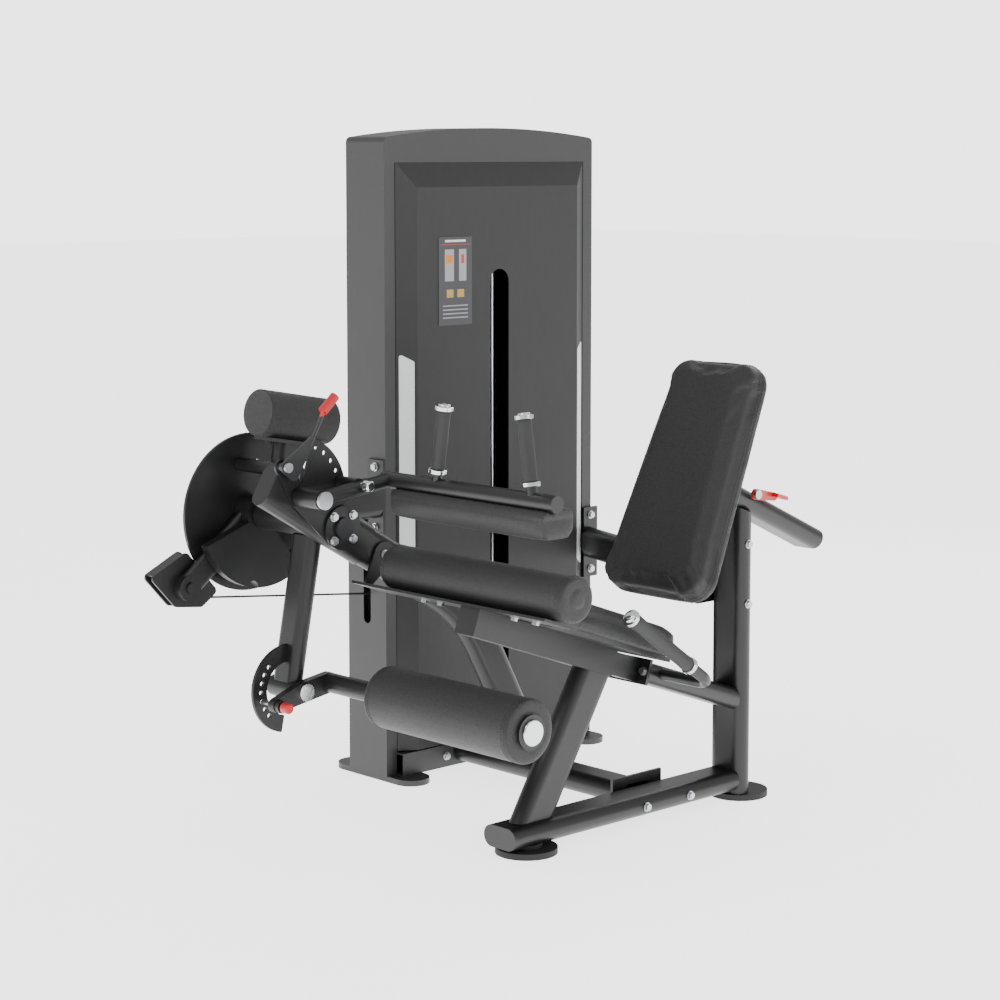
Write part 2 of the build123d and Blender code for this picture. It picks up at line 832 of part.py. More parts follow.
with BuildPart() as start_pin:
    cross_pin(plunger_place, plunger_near - 4, disc_near - pin_standoff, plunger_pin_radius)
    cross_pin(plunger_place, plunger_near - 26, plunger_near - 4, pin_knob_radius)
    fillet(start_pin.edges().filter_by(GeomType.CIRCLE).sort_by(Axis.Y)[0], 3)
save(start_pin, "start_pin")

# --- ankle roller -------------------------------------------------------------------

ankle_pin_place = polar(*ankle, sector_hole_ring, ankle_pin_angle)
sector_far = sector_near + sector_thick

with BuildPart() as ankle_sector:
    # toothless sector with pin holes, welded to the lever behind the roller's arm
    with BuildSketch(side_plane(sector_far)) as sector:
        with Locations(ankle):
            Circle(sector_radius)
            Circle(sector_inner, mode=Mode.SUBTRACT)
        with BuildLine():
            half_fan = [polar(*ankle, 2 * sector_radius, angle) for angle in (88, 135, 180, 225, 258)]
            Polyline(ankle, *half_fan, close=True)
        make_face(mode=Mode.INTERSECT)
        for index in range(-4, 3):
            with Locations(polar(*ankle, sector_hole_ring, ankle_pin_angle + index * sector_step)):
                Circle(ankle_pin_radius + pin_clearance, mode=Mode.SUBTRACT)
    extrude(sector.sketch, amount=sector_thick)
    oval_run(at(lever_point(0), lever_plane), at(ankle, lever_plane), (0, 1, 0), lever_wide, lever_thick,
             wall=0, mode=Mode.SUBTRACT)
save(ankle_sector, "ankle_sector")

roller_near = bolster_middle - 17 - roller_length / 2
roller_far = roller_near + roller_length
tube_end = roller_near - 5

with BuildPart() as ankle_bracket:
    hull_plate(bracket_near, bracket_far - bracket_near,
               [(*ankle_pin_place, 16), (*ankle, bracket_height / 2), (*roller_axis, bracket_height / 2)])
    cross_pin(ankle_pin_place, bracket_near - 14, bracket_near, 14)
    cross_pin(roller_axis, tube_end, bracket_near, roller_tube_radius)
    cross_pin(roller_axis, tube_end, bracket_near, roller_tube_radius - tube_wall, mode=Mode.SUBTRACT)
    cross_pin(roller_axis, tube_end, tube_end + 4, 38, roller_tube_radius)
    cross_pin(roller_axis, roller_far + 1, roller_far + 9, 34, roller_tube_radius)
    cross_pin(ankle, bracket_near, bracket_far, ankle_shaft_radius, mode=Mode.SUBTRACT)
    cross_pin(ankle_pin_place, bracket_near - 14, bracket_far, ankle_pin_radius + running_gap,
              mode=Mode.SUBTRACT)
save(ankle_bracket, "ankle_bracket")

with BuildPart() as ankle_shaft:
    # pivot shaft with its caps, and the disc that closes the roller's tube
    cross_pin(ankle, bracket_near - 8, sleeve_far + 6, ankle_shaft_radius)
    cross_pin(ankle, bracket_near - 8, bracket_near, 20)
    cross_pin(ankle, sleeve_far + 1, sleeve_far + 6, 18)
    cross_pin(roller_axis, tube_end - 6, tube_end, 28)
    fillet(ankle_shaft.edges().filter_by(GeomType.CIRCLE).sort_by(Axis.Y)[0], 3)
save(ankle_shaft, "ankle_shaft")

with BuildPart() as ankle_pin:
    cross_pin(ankle_pin_place, bracket_near - 18, sector_near - pin_standoff, ankle_pin_radius)
    cross_pin(ankle_pin_place, bracket_near - 40, bracket_near - 18, pin_knob_radius)
    fillet(ankle_pin.edges().filter_by(GeomType.CIRCLE).sort_by(Axis.Y)[0], 4)
save(ankle_pin, "ankle_pin")

with BuildPart() as ankle_roller:
    cross_pin(roller_axis, roller_near, roller_far, roller_radius, roller_tube_radius + soft_gap)
    fillet(ankle_roller.edges().filter_by(GeomType.CIRCLE).group_by(SortBy.RADIUS)[-1], 8)
save(ankle_roller, "ankle_roller")

# --- fixed arm and lap pad ----------------------------------------------------------

arm_dir = Vector(cos(radians(arm_angle)), 0, -sin(radians(arm_angle)))
arm_up = Vector(sin(radians(arm_angle)), 0, cos(radians(arm_angle)))
insert_wide = tube_wide - 2 * tube_wall - 2 * insert_gap
insert_thick = tube_thick - 2 * tube_wall - 2 * insert_gap
lap = (lap_x, lap_z)
lap_pin_place = polar(*lap, lap_hole_ring, lap_pin_angle)
lug = (-897.0, 858.0)

with BuildPart() as pivot_arm:
    oval_run(at(arm_point(-arm_back), arm_plane), at(arm_point(arm_front), arm_plane), arm_up)
    cross_pin(knee, arm_near, arm_far, near_bearing_radius, mode=Mode.SUBTRACT)
    cross_pin(lap, arm_near, arm_plane, lap_shaft_radius, mode=Mode.SUBTRACT)
save(pivot_arm, "pivot_arm")

with BuildPart() as curved_tube:
    # from inside the arm down to the cross rail, in one long bend
    run_in = arm_point(arm_front / 2)
    foot = (cross_rail_x - 5, rail_high)
    foot_slope = tan(radians(curved_foot_angle))
    arm_slope = tan(radians(arm_angle))
    corner_x = (foot[1] + foot[0] * foot_slope - knee_z - knee_x * arm_slope) / (foot_slope - arm_slope)
    corner = arm_point((corner_x - knee_x) / cos(radians(arm_angle)))
    past_foot = (foot[0] + tube_wide, foot[1] - tube_wide * foot_slope)
    with BuildLine(side_plane(arm_plane)) as bend_path:
        FilletPolyline(run_in, corner, past_foot, radius=curved_bend)
    with BuildSketch(Plane(origin=at(run_in, arm_plane), x_dir=arm_up, z_dir=arm_dir)) as bend_section:
        SlotOverall(insert_wide, insert_thick)
        SlotOverall(insert_wide - 2 * tube_wall, insert_thick - 2 * tube_wall, mode=Mode.SUBTRACT)
    sweep(bend_section.sketch, path=bend_path.wires()[0])
    split(bisect_by=Plane.XY.offset(rail_high), keep=Keep.TOP)
save(curved_tube, "curved_tube")

with BuildPart() as arm_plate:
    # sector about the lap pad's pivot, with lobes to the knee bearing and the lever's lug
    with BuildSketch(side_plane(arm_near)) as fan:
        with BuildLine():
            reach = 2 * lap_rim_radius
            Polyline(lap, polar(*lap, reach, 72), polar(*lap, reach, 20), polar(*lap, reach, -arm_angle),
                     close=True)
        make_face()
        with Locations(lap):
            Circle(lap_rim_radius, mode=Mode.INTERSECT)
    extrude(fan.sketch, amount=plate_thick)
    hull_plate(plate_near, plate_thick, [(*lap, 26), (*knee, near_flange_radius)])
    hull_plate(plate_near, plate_thick, [(*lug, 16), (*lap, 26)])
    cross_pin(knee, arm_near, plate_near, near_bearing_radius, mode=Mode.SUBTRACT)
    cross_pin(lap, arm_near, plate_near, lap_shaft_radius, mode=Mode.SUBTRACT)
    for index in range(5):
        hole = polar(*lap, lap_hole_ring, lap_pin_angle + index * lap_hole_step)
        cross_pin(hole, arm_near, plate_near, lap_pin_radius + pin_clearance, mode=Mode.SUBTRACT)
save(arm_plate, "arm_plate")

lap_bar = (lap_bar_x, lap_bar_z)
lap_bar_far = -400.0
lap_bar_near = -950.0
lap_tube = lap_bar_radius - 2.0
grip_bottom = 853.0


def grip_at(side, z):
    """Point on the axis of an upright lap grip at a height."""
    lean = (z - grip_bottom) * tan(radians(grip_lean))
    return Vector(lap_bar_x - 3, seat_plane + side * (grip_spacing / 2 - lean), z)


with BuildPart() as lap_arm:
    cross_pin(lap, lap_hub_near, plate_near - 2, lap_hub_radius)
    round_run(at(lap, lap_tube_plane), at(lap_bar, lap_tube_plane), lap_tube)
    cross_pin(lap_bar, lap_bar_near, lap_bar_far, lap_bar_radius)
    cross_pin(lap_pin_place, lap_tube_plane, plate_near - 3, 14)
    # posts of the two grips
    for side in (-1, 1):
        round_run(grip_at(side, lap_bar_z), grip_at(side, grip_bottom + grip_height), grip_tube_radius)
    cross_pin(lap, lap_hub_near, plate_near - 2, lap_shaft_radius + running_gap, mode=Mode.SUBTRACT)
    cross_pin(lap_pin_place, lap_tube_plane - 40, plate_near - 3, lap_pin_radius + running_gap,
              mode=Mode.SUBTRACT)
save(lap_arm, "lap_arm")

with BuildPart() as lap_pin:
    lap_pin_knob = lap_tube_plane - lap_tube - 8
    cross_pin(lap_pin_place, lap_pin_knob, plate_near - pin_standoff, lap_pin_radius)
    cross_pin(lap_pin_place, lap_pin_knob - 20, lap_pin_knob, pin_knob_radius)
    fillet(lap_pin.edges().filter_by(GeomType.CIRCLE).sort_by(Axis.Y)[0], 4)
save(lap_pin, "lap_pin")

with BuildPart() as lap_pad:
    pad_middle = (lap_bar_x + 18, lap_bar_z - 12 - lap_pad_height / 2)
    with BuildSketch(side_plane(seat_plane + 37 + lap_pad_length / 2)) as pad_section:
        with Locations(pad_middle):
            RectangleRounded(lap_pad_width, lap_pad_height, 24)
        with Locations(lap_bar):
            Circle(lap_bar_radius + soft_gap, mode=Mode.SUBTRACT)
    extrude(pad_section.sketch, amount=lap_pad_length)
save(lap_pad, "lap_pad")

with BuildPart() as lap_grips:
    # sleeve, a ring at each end and a cap on top
    for side in (-1, 1):
        axis = (grip_at(side, grip_bottom + 1) - grip_at(side, grip_bottom)).normalized()
        foot_end = grip_at(side, grip_bottom)
        head_end = grip_at(side, grip_bottom + grip_height)
        round_run(foot_end, head_end, grip_radius, grip_tube_radius)
        round_run(foot_end - axis * ring_length, foot_end, grip_radius + 4, grip_tube_radius)
        round_run(head_end, head_end + axis * ring_length, grip_radius + 4)
        round_run(head_end + axis * ring_length, head_end + axis * (ring_length + 5), grip_radius - 2)
save(lap_grips, "lap_grips")

with BuildPart() as start_lever:
    lever_near = plate_near - 20
    lever_plate = 6.0
    hull_plate(lever_near, lever_plate, [(*lug, 14), (-828, 910, 9), (-876, 834, 8)])
    rod_y = lever_near + lever_plate / 2
    round_run((-832, rod_y, 900), (-790, rod_y, 976), 5)
    round_run((-794, rod_y, 973), (-758, rod_y, 1005), 11)
    cross_pin(lug, lever_near - 8, lever_near + lever_plate + 8, axle_radius + running_gap,
              mode=Mode.SUBTRACT)
save(start_lever, "start_lever")

# --- seat frame ---------------------------------------------------------------------

seat_along = Vector(-cos(radians(seat_tilt)), 0, sin(radians(seat_tilt)))
seat_above = Vector(sin(radians(seat_tilt)), 0, cos(radians(seat_tilt)))
beam_half = seat_beam_wide / 2
post_face = post_x - tube_thick / 2
rail_far = seat_plane + tube_wide / 2
flange_far = rail_far + weld_plate_thick

with BuildPart() as base_rails:
    oval_run((rail_front, seat_plane, rail_mid), (post_face, seat_plane, rail_mid), (0, 1, 0))
    oval_run((cross_rail_x, -base_depth / 2, rail_mid), (cross_rail_x, flange_far, rail_mid), (1, 0, 0))
save(base_rails, "base_rails")

with BuildPart() as rail_feet:
    for x, top in ((rail_front + 78, rail_low), (post_x + 30, foot_thick)):
        round_run((x, seat_plane, 0), (x, seat_plane, foot_thick), foot_radius)
        if top > foot_thick:
            round_run((x, seat_plane, foot_thick), (x, seat_plane, top), foot_radius / 2)
save(rail_feet, "rail_feet")

slide_up = Vector(sin(radians(back_rail_angle)), 0, cos(radians(back_rail_angle)))
slide_start = (back_rail_start - post_x) / cos(radians(back_rail_angle))
slide_end = (back_rail_end - post_x) / cos(radians(back_rail_angle))

with BuildPart() as rear_post:
    oval_run((post_x, seat_plane, foot_thick), (post_x, seat_plane, back_rail_z), (0, 1, 0))
    # mitred top under the flat of the backrest rail
    mitre = at(slide_point(0, -tube_thick / 2), seat_plane)
    split(bisect_by=Plane(origin=mitre, z_dir=slide_up), keep=Keep.BOTTOM)
save(rear_post, "rear_post")

with BuildPart() as front_leg:
    leg_foot = Vector(-500, seat_plane, rail_high)
    leg_head = Vector(*at(seat_point((post_face + 303) / cos(radians(seat_tilt)), -beam_half), seat_plane))
    leg_dir = (leg_head - leg_foot).normalized()
    oval_run(leg_foot - leg_dir * tube_wide, leg_head + leg_dir * tube_wide, leg_dir.cross(Vector(0, 1, 0)))
    split(bisect_by=Plane.XY.offset(rail_high), keep=Keep.TOP)
    split(bisect_by=Plane(origin=leg_head, z_dir=seat_above), keep=Keep.BOTTOM)
save(front_leg, "front_leg")

with BuildPart() as seat_beam:
    # lower tube with the tube that slides into the seat beam
    insert_size = seat_beam_wide - 2 * tube_wall - 2 * insert_gap
    clamp_face = clamp_along + weld_plate_thick
    oval_run(at(seat_point(-40), seat_plane), at(seat_point(clamp_along), seat_plane), (0, 1, 0))
    split(bisect_by=Plane(origin=(post_face, 0, 0), z_dir=(-1, 0, 0)), keep=Keep.TOP)
    box_run(at(seat_point(clamp_face), seat_plane), at(seat_point(beam_rear + 70), seat_plane),
            (0, 1, 0), insert_size, insert_size, tube_wall)
    box_run(at(seat_point(beam_rear), seat_plane), at(seat_point(beam_front), seat_plane),
            (0, 1, 0), seat_beam_wide, seat_beam_wide, tube_wall)
save(seat_beam, "seat_beam")

with BuildPart() as seat_board:
    board_middle = beam_half + board_thick / 2
    box_run(at(seat_point(seat_start + 12, board_middle), seat_plane),
            at(seat_point(seat_start + seat_length - 12, board_middle), seat_plane),
            (0, 1, 0), seat_width - 40, board_thick)
save(seat_board, "seat_board")


def cushion(origin, length_dir, out_dir, length, width, thick, corner):
    """Padded slab: length along length_dir, thickness along out_dir, width along Y."""
    with BuildSketch(Plane(origin=origin, x_dir=length_dir, z_dir=out_dir)) as outline:
        RectangleRounded(length, width, corner)
    extrude(outline.sketch, amount=thick)


with BuildPart() as seat_pad:
    pad_base = seat_point(seat_start + seat_length / 2, beam_half + board_thick + soft_gap)
    cushion(at(pad_base, seat_plane), seat_along, seat_above, seat_length, seat_width, seat_thick, 42)
    broad_faces = seat_pad.faces().sort_by(Axis((0, 0, 0), seat_above))
    fillet(broad_faces[0].edges() + broad_faces[-1].edges(), 16)
save(seat_pad, "seat_pad")

# --- knee bolster -------------------------------------------------------------------

bolster_above = beam_half + plate_thick + soft_gap + bolster_radius
bolster_axis = seat_point(bolster_reach, bolster_above)
bolster_far = bolster_middle + bolster_length / 2
bolster_near = bolster_middle - bolster_length / 2
gusset_far = arm_plane - insert_thick / 2
gusset_near = gusset_far - plate_thick

with BuildPart() as bolster_bracket:
    # gusset on the arm, and the flat plate below the bolster
    hull_plate(gusset_near, plate_thick,
               [(*arm_point(arm_front + 50), 30), (*seat_point(bolster_reach, beam_half + 14), 12)])
    plate_middle = (gusset_near + bolster_near + 30) / 2
    plate_height = beam_half + plate_thick / 2
    box_run(at(seat_point(bolster_reach - 52, plate_height), plate_middle),
            at(seat_point(bolster_reach + 52, plate_height), plate_middle),
            (0, 1, 0), gusset_near - bolster_near - 30, plate_thick)
save(bolster_bracket, "bolster_bracket")

with BuildPart() as knee_bolster:
    cross_pin(bolster_axis, bolster_far, bolster_near, bolster_radius)
    fillet(knee_bolster.edges().filter_by(GeomType.CIRCLE), 8)
save(knee_bolster, "knee_bolster")

# --- tower ties ---------------------------------------------------------------------

with BuildPart() as tower_beams:
    # tie to the rear post
    tie_start = Vector(half_width - 15, -half_depth - weld_plate_thick, tie_z)
    tie_end = Vector(post_x - 15, flange_far, tie_z)
    run_on = (tie_end - tie_start).normalized() * tube_thick
    oval_run(tie_start - run_on, tie_end + run_on, (0, 0, 1), wide=tie_high)
    split(bisect_by=Plane(origin=tie_start, z_dir=(0, -1, 0)), keep=Keep.TOP)
    split(bisect_by=Plane(origin=tie_end, z_dir=(0, -1, 0)), keep=Keep.BOTTOM)
    # carries the far bearing
    beam_y = -half_depth + support_thick / 2
    oval_run((support_start, beam_y, knee_z), (-half_width - weld_plate_thick, beam_y, knee_z), (0, 0, 1),
             thick=support_thick)
    cross_pin(knee, far_bearing_near, far_bearing_far, carrier_outer, mode=Mode.SUBTRACT)
save(tower_beams, "tower_beams")

with BuildPart() as mounting_plates:
    # plates that bolt the seat frame's tubes to the tower and to each other
    box_between((cross_rail_x - 82, rail_far, foot_thick), (cross_rail_x + 82, flange_far, rail_high + 20))
    oval_run((cross_rail_x, rail_far - 1, rail_mid), (cross_rail_x, flange_far + 1, rail_mid), (1, 0, 0),
             wall=0, mode=Mode.SUBTRACT)
    box_between((-half_width - weld_plate_thick, -half_depth, knee_z - 92),
                (-half_width, -cable_slot_width / 2 - 1, knee_z + 92))
    box_between((column_inner, -half_depth - weld_plate_thick, tie_z - 92),
                (half_width + 17, -half_depth, tie_z + 92))
    box_between((post_x - 66, rail_far, tie_z - 52), (post_x + 34, flange_far, tie_z + 52))
    box_run(at(seat_point(clamp_along), seat_plane), at(seat_point(clamp_face), seat_plane),
            (0, 1, 0), tube_wide + 16, beam_half * 2)
save(mounting_plates, "mounting_plates")

with BuildPart() as tube_caps:
    # ends of the base rail, the fixed arm, the backrest rail and the seat beam
    oval_run((rail_front - cap_thick, seat_plane, rail_mid), (rail_front, seat_plane, rail_mid), (0, 1, 0),
             wall=0)
    oval_run(at(arm_point(-arm_back - cap_thick), arm_plane), at(arm_point(-arm_back), arm_plane), arm_up,
             wall=0)
    oval_run(at(slide_point(slide_end), seat_plane), at(slide_point(slide_end + cap_thick), seat_plane),
             (0, 1, 0), wall=0)
    box_run(at(seat_point(beam_front), seat_plane), at(seat_point(beam_front + cap_thick), seat_plane),
            (0, 1, 0), seat_beam_wide, seat_beam_wide)
save(tube_caps, "tube_caps")

# --- backrest -----------------------------------------------------------------------

back_up = Vector(sin(radians(back_lean)), 0, cos(radians(back_lean)))
back_out = Vector(cos(radians(back_lean)), 0, -sin(radians(back_lean)))
behind_plate = back_thick + soft_gap + weld_plate_thick
plate_foot = at(back_point(back_length / 2, behind_plate), seat_plane)

with BuildPart() as back_rail:
    oval_run(at(slide_point(slide_start), seat_plane), at(slide_point(slide_end), seat_plane), (0, 1, 0))
save(back_rail, "back_rail")

with BuildPart() as back_carriage:
    # tube that slides in the rail, and the plate behind the pad
    oval_run(at(slide_point(-260), seat_plane), at(slide_point(180), seat_plane), (0, 1, 0),
             insert_wide, insert_thick)
    split(bisect_by=Plane(origin=plate_foot, z_dir=back_out), keep=Keep.TOP)
    cushion(plate_foot, back_up, -back_out, back_plate_length, back_plate_width, weld_plate_thick, 24)
save(back_carriage, "back_carriage")

with BuildPart() as back_pad:
    # wider at the foot than at the head
    pad_base = at(back_point(back_length / 2, back_thick), seat_plane)
    half_long, half_foot, half_head = back_length / 2, back_foot_width / 2, back_head_width / 2
    with BuildSketch(Plane(origin=pad_base, x_dir=back_up, z_dir=-back_out)) as back_outline:
        Polygon((-half_long, -half_foot), (half_long, -half_head), (half_long, half_head),
                (-half_long, half_foot), align=None)
        fillet(back_outline.vertices(), back_corner)
    extrude(back_outline.sketch, amount=back_thick)
    broad_faces = back_pad.faces().sort_by(Axis((0, 0, 0), back_out))
    fillet(broad_faces[0].edges() + broad_faces[-1].edges(), 20)
save(back_pad, "back_pad")

release_place = slide_point(9, 18)
release_x, release_z = release_place
rail_near = seat_plane - tube_wide / 2

with BuildPart() as back_release:
    hull_plate(rail_near - 10, 6, [(*release_place, 13), (release_x + 66, release_z - 12, 10)])
    cross_pin(release_place, rail_near - 10, rail_near - 4, axle_radius + running_gap, mode=Mode.SUBTRACT)
    box_run((release_x + 58, rail_near - 14, release_z - 6),
            (release_x + 96, rail_near - 14, release_z - 18), (0, 1, 0), 26, 9)
save(back_release, "back_release")

# --- seat handles -------------------------------------------------------------------

handle_run = Vector(handle_top[0] - handle_low[0], 0, handle_top[1] - handle_low[1])
handle_dir = handle_run.normalized()


def handle_at(side, along):
    """Point on a seat handle's outer leg, from its bend."""
    return Vector(handle_low[0], seat_plane + side * handle_out, handle_low[1]) + handle_dir * along


with BuildPart() as seat_handles:
    for side in (-1, 1):
        inner = (handle_low[0], seat_plane + side * (tube_wide / 2), handle_low[1])
        with BuildLine() as handle_path:
            FilletPolyline(inner, handle_at(side, 0), handle_at(side, handle_run.length), radius=45)
        path = handle_path.wires()[0]
        with BuildSketch(Plane(origin=path @ 0, z_dir=path % 0)) as handle_section:
            Circle(handle_radius)
            Circle(handle_radius - tube_wall, mode=Mode.SUBTRACT)
        sweep(handle_section.sketch, path=path)
save(seat_handles, "seat_handles")

with BuildPart() as seat_grips:
    for side in (-1, 1):
        round_run(handle_at(side, grip_start), handle_at(side, handle_run.length - ring_length),
                  seat_grip_radius, handle_radius)
save(seat_grips, "seat_grips")

with BuildPart() as seat_rings:
    for side in (-1, 1):
        round_run(handle_at(side, grip_start - ring_length), handle_at(side, grip_start),
                  seat_grip_radius + 3, handle_radius)
        end = handle_run.length
        round_run(handle_at(side, end - ring_length), handle_at(side, end), seat_grip_radius + 3,
                  handle_radius)
        round_run(handle_at(side, end), handle_at(side, end + 7), seat_grip_radius - 4)
save(seat_rings, "seat_rings")

# --- fixed bolts and pins -----------------------------------------------------------

with BuildPart() as frame_bolts:
    # cross rail flange, tower base, tie plates and bearing plate
    for side in (-1, 1):
        bolt((cross_rail_x + side * 66, flange_far, rail_high + 4), -near)
        bolt((cross_rail_x + side * 73.5, seat_plane - tube_wide / 2, rail_mid), near)
        bolt((cross_rail_x + side * 75, -base_depth / 2, rail_mid - 6), near)
        bolt((column_inner + 25, -half_depth - weld_plate_thick, tie_z + side * 71.5), near)
        bolt((post_x - 53, flange_far, tie_z + side * 38), -near)
        bolt((-half_width - weld_plate_thick, (-half_depth - cable_slot_width / 2) / 2, knee_z + side * 74),
             -right)
        bolt(at(seat_point(clamp_face), seat_plane + side * 44), seat_along)
    for z in (tie_z - 47, tie_z + 96):
        bolt((post_x, seat_plane - tube_wide / 2, z), near)
    bolt(at(arm_point(arm_front + 50), gusset_near), near)
    for angle in (45, 135, 225, 315):
        bolt(at(polar(*knee, 38.5, angle), near_flange_near), near)
    for y in (-546, -598, -829, -895):
        bolt(at(seat_point(bolster_reach, beam_half), y), -seat_above)
    # pins of the lap pad, the start lever and the backrest's release
    cross_pin(lap, lap_hub_near - 2, arm_plane, lap_shaft_radius)
    cross_pin(lap, lap_hub_near - 9, lap_hub_near - 2, 20)
    cross_pin(lug, lever_near - 1, plate_near, axle_radius)
    cross_pin(lug, lever_near + lever_plate + 1, plate_near, 9)
    cross_pin(lug, lever_near - 8, lever_near - 1, 11)
    cross_pin(release_place, rail_near - 12, rail_near, axle_radius)
    cross_pin(release_place, rail_near - 18, rail_near - 12, 11)
save(frame_bolts, "frame_bolts")
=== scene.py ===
import json
import math
import bmesh
import bpy
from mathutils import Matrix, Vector
from mathutils.bvhtree import BVHTree


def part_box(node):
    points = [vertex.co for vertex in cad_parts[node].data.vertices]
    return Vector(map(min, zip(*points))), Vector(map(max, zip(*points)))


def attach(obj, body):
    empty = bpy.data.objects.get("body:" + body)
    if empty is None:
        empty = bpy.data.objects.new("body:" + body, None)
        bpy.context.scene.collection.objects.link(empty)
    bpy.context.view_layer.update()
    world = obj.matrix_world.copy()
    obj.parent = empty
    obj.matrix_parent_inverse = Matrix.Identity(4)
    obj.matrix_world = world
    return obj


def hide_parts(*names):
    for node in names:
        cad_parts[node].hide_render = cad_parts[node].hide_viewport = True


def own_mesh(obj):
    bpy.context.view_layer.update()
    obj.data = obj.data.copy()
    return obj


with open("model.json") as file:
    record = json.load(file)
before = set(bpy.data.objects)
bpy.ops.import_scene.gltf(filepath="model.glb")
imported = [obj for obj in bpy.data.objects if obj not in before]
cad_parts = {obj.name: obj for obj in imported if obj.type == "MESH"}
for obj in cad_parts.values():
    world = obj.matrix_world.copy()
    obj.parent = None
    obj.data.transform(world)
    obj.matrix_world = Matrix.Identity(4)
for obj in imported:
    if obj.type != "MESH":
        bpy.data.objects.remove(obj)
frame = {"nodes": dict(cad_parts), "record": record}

# Leg extension machine: finishes for the steel work, real cushions, seams and grips.
# Metres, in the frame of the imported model.

scene = bpy.context.scene


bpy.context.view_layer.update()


# shader helpers

class Wire:
    def __init__(self, maker, socket):
        self.maker = maker
        self.socket = socket

    def maths(self, operation, first, second):
        return self.maker.node("ShaderNodeMath", {"operation": operation}, {0: first, 1: second})

    def __add__(self, other):
        return self.maths("ADD", self, other)

    def __radd__(self, other):
        return self.maths("ADD", other, self)

    def __sub__(self, other):
        return self.maths("SUBTRACT", self, other)

    def __rsub__(self, other):
        return self.maths("SUBTRACT", other, self)

    def __mul__(self, other):
        return self.maths("MULTIPLY", self, other)

    def __rmul__(self, other):
        return self.maths("MULTIPLY", other, self)

    def __lt__(self, other):
        return self.maths("LESS_THAN", self, other)

    def __gt__(self, other):
        return self.maths("GREATER_THAN", self, other)

    def size(self):
        return self.maker.node("ShaderNodeMath", {"operation": "ABSOLUTE"}, {0: self})


class Finish:
    # one material under construction
    def __init__(self, name):
        self.material = bpy.data.materials.new(name)
        self.material.use_nodes = True
        self.tree = self.material.node_tree
        self.tree.nodes.clear()

    def node(self, kind, settings=None, inputs=None, out=0):
        made = self.tree.nodes.new(kind)
        for key, value in (settings or {}).items():
            if key == "stops":
                ramp = made.color_ramp.elements
                while len(ramp) < len(value):
                    ramp.new(0.5)
                for stop, (place, colour) in zip(ramp, value):
                    stop.position = place
                    stop.color = (*colour, 1)
            else:
                setattr(made, key, value)
        for key, value in (inputs or {}).items():
            if isinstance(value, Wire):
                self.tree.links.new(value.socket, made.inputs[key])
            else:
                made.inputs[key].default_value = value
        return Wire(self, made.outputs[out]) if made.outputs else None

    def place(self, stretch=(1, 1, 1)):
        at = self.node("ShaderNodeTexCoord", out="Object")
        return self.node("ShaderNodeMapping", {}, {"Vector": at, "Scale": stretch})

    def noise(self, scale, detail=3, rough=0.5, stretch=(1, 1, 1)):
        return self.node("ShaderNodeTexNoise", {}, {
            "Vector": self.place(stretch), "Scale": scale, "Detail": detail, "Roughness": rough}, "Fac")

    def tint(self, mask, low, high):
        return self.node("ShaderNodeMix", {"data_type": "RGBA"}, {
            0: mask, 6: (*low, 1), 7: (*high, 1)}, 2)

    def over(self, mask, under, colour):
        return self.node("ShaderNodeMix", {"data_type": "RGBA"}, {
            0: mask, 6: under, 7: (*colour, 1)}, 2)

    def bump(self, height, strength, distance):
        return self.node("ShaderNodeBump", {}, {
            "Height": height, "Strength": strength, "Distance": distance})

    def close(self, colour, rough, normal, **fixed):
        shader = self.node("ShaderNodeBsdfPrincipled", {}, {
            "Base Color": colour, "Roughness": rough, "Normal": normal, **fixed}, "BSDF")
        self.node("ShaderNodeOutputMaterial", {}, {"Surface": shader})
        return self.material


def sprayedSteel(name, dark, light, rough, grain, depth):
    # powder coat: orange peel, fine sand, and a slow change of gloss
    finish = Finish(name)
    cloud = finish.noise(7, 4)
    sand = finish.noise(grain, 2, 0.6)
    scuff = finish.noise(60, 5, 0.7, (1, 1, 0.25))
    colour = finish.tint(cloud * 0.7 + sand * 0.3, dark, light)
    gloss = rough + (cloud - 0.5) * 0.12 + (scuff - 0.5) * 0.10
    peel = finish.noise(grain * 0.35, 1)
    return finish.close(colour, gloss, finish.bump(sand * 0.6 + peel, 0.35, depth),
                        **{"Specular IOR Level": 0.5})


def vinyl(name, dark, light):
    # pebbled cover cloth: two sizes of grain; painted shade darkens the creases between the pebbles, the
    # pebble tops are painted lighter, and the tops are also rubbed shinier
    finish = Finish(name)
    pebble = finish.node("ShaderNodeTexVoronoi", {"feature": "DISTANCE_TO_EDGE"},
                         {"Vector": finish.place(), "Scale": 330.0}, "Distance")
    fine = finish.node("ShaderNodeTexVoronoi", {"feature": "F1"},
                       {"Vector": finish.place(), "Scale": 1150.0}, "Distance")
    cloud = finish.noise(9, 4)
    top = finish.node("ShaderNodeMapRange", {}, {
        "Value": pebble, "From Min": 0.0, "From Max": 0.28, "To Min": 0.0, "To Max": 1.0})
    # painted shade: colour darker in the creases between the pebbles, lighter on their tops
    colour = finish.tint(top * 0.75 + cloud * 0.25, dark, light)
    rough = 0.62 - top * 0.14 + (cloud - 0.5) * 0.1
    return finish.close(colour, rough, finish.bump(top + fine * 0.25, 0.55, 0.0006),
                        **{"Sheen Weight": 0.08, "Specular IOR Level": 0.45})


def brightMetal(name, dark, light, rough, stretch):
    finish = Finish(name)
    lines = finish.noise(420, 3, 0.6, stretch)
    cloud = finish.noise(24, 3)
    colour = finish.tint(lines * 0.5 + cloud * 0.5, dark, light)
    return finish.close(colour, rough + (lines - 0.5) * 0.12, finish.bump(lines, 0.12, 0.0002),
                        Metallic=1.0)


